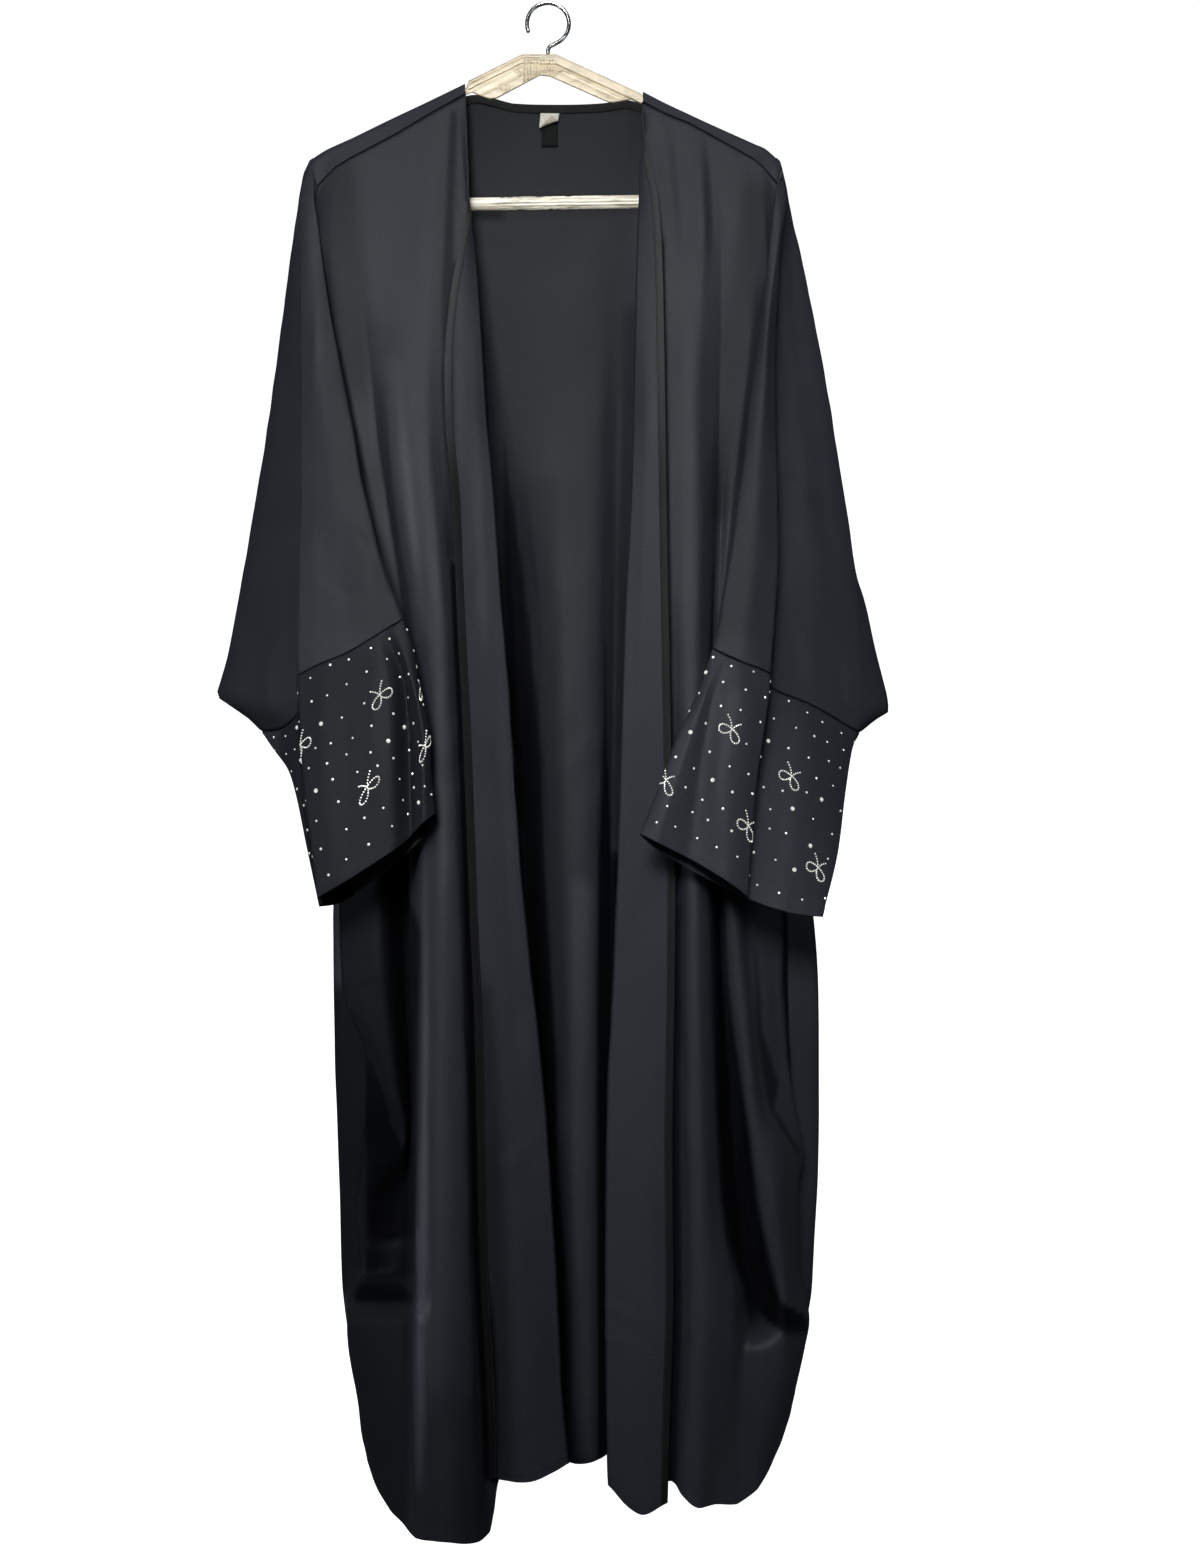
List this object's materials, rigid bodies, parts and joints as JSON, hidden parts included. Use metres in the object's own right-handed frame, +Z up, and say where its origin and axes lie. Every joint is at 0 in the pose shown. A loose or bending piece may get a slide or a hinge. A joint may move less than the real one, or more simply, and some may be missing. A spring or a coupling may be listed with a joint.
{
  "type": "abaya cloak on a hanger",
  "caption": "Long open-front black abaya cloak with batwing sleeves, turned-back front edges and stone-trimmed cuffs, hanging on a pale hanger with a wire hook.",
  "frame": {"origin": "inside crown of the hanger's hook, where it hangs on a rail", "axes": "+Z up, +X to the viewer's right along the hanger, -Y towards the viewer, out of the garment's front"},
  "size_m": [0.6842, 0.1934, 1.4955],
  "materials": {
    "black_satin": "black crepe satin, soft sheen, fine weave",
    "black_band": "turned and stitched hem of the same cloth",
    "cream_tape": "woven tape, bare",
    "pale_plastic": "clear to cream moulded plastic",
    "chrome_wire": "bright wire"
  },
  "bodies": {
    "root": {"back": "black_satin", "front_left": "black_satin", "front_right": "black_satin", "sleeve_left": "black_satin", "sleeve_right": "black_satin", "cuff_left": "black_satin", "cuff_right": "black_satin", "front_band_left": "black_band", "front_band_right": "black_band", "neck_band": "black_band", "neck_tab": "cream_tape", "size_tab": "black_band", "hanger_arms": "pale_plastic", "hanger_bar": "pale_plastic", "hanger_hook": "chrome_wire"}
  },
  "joints": []
}
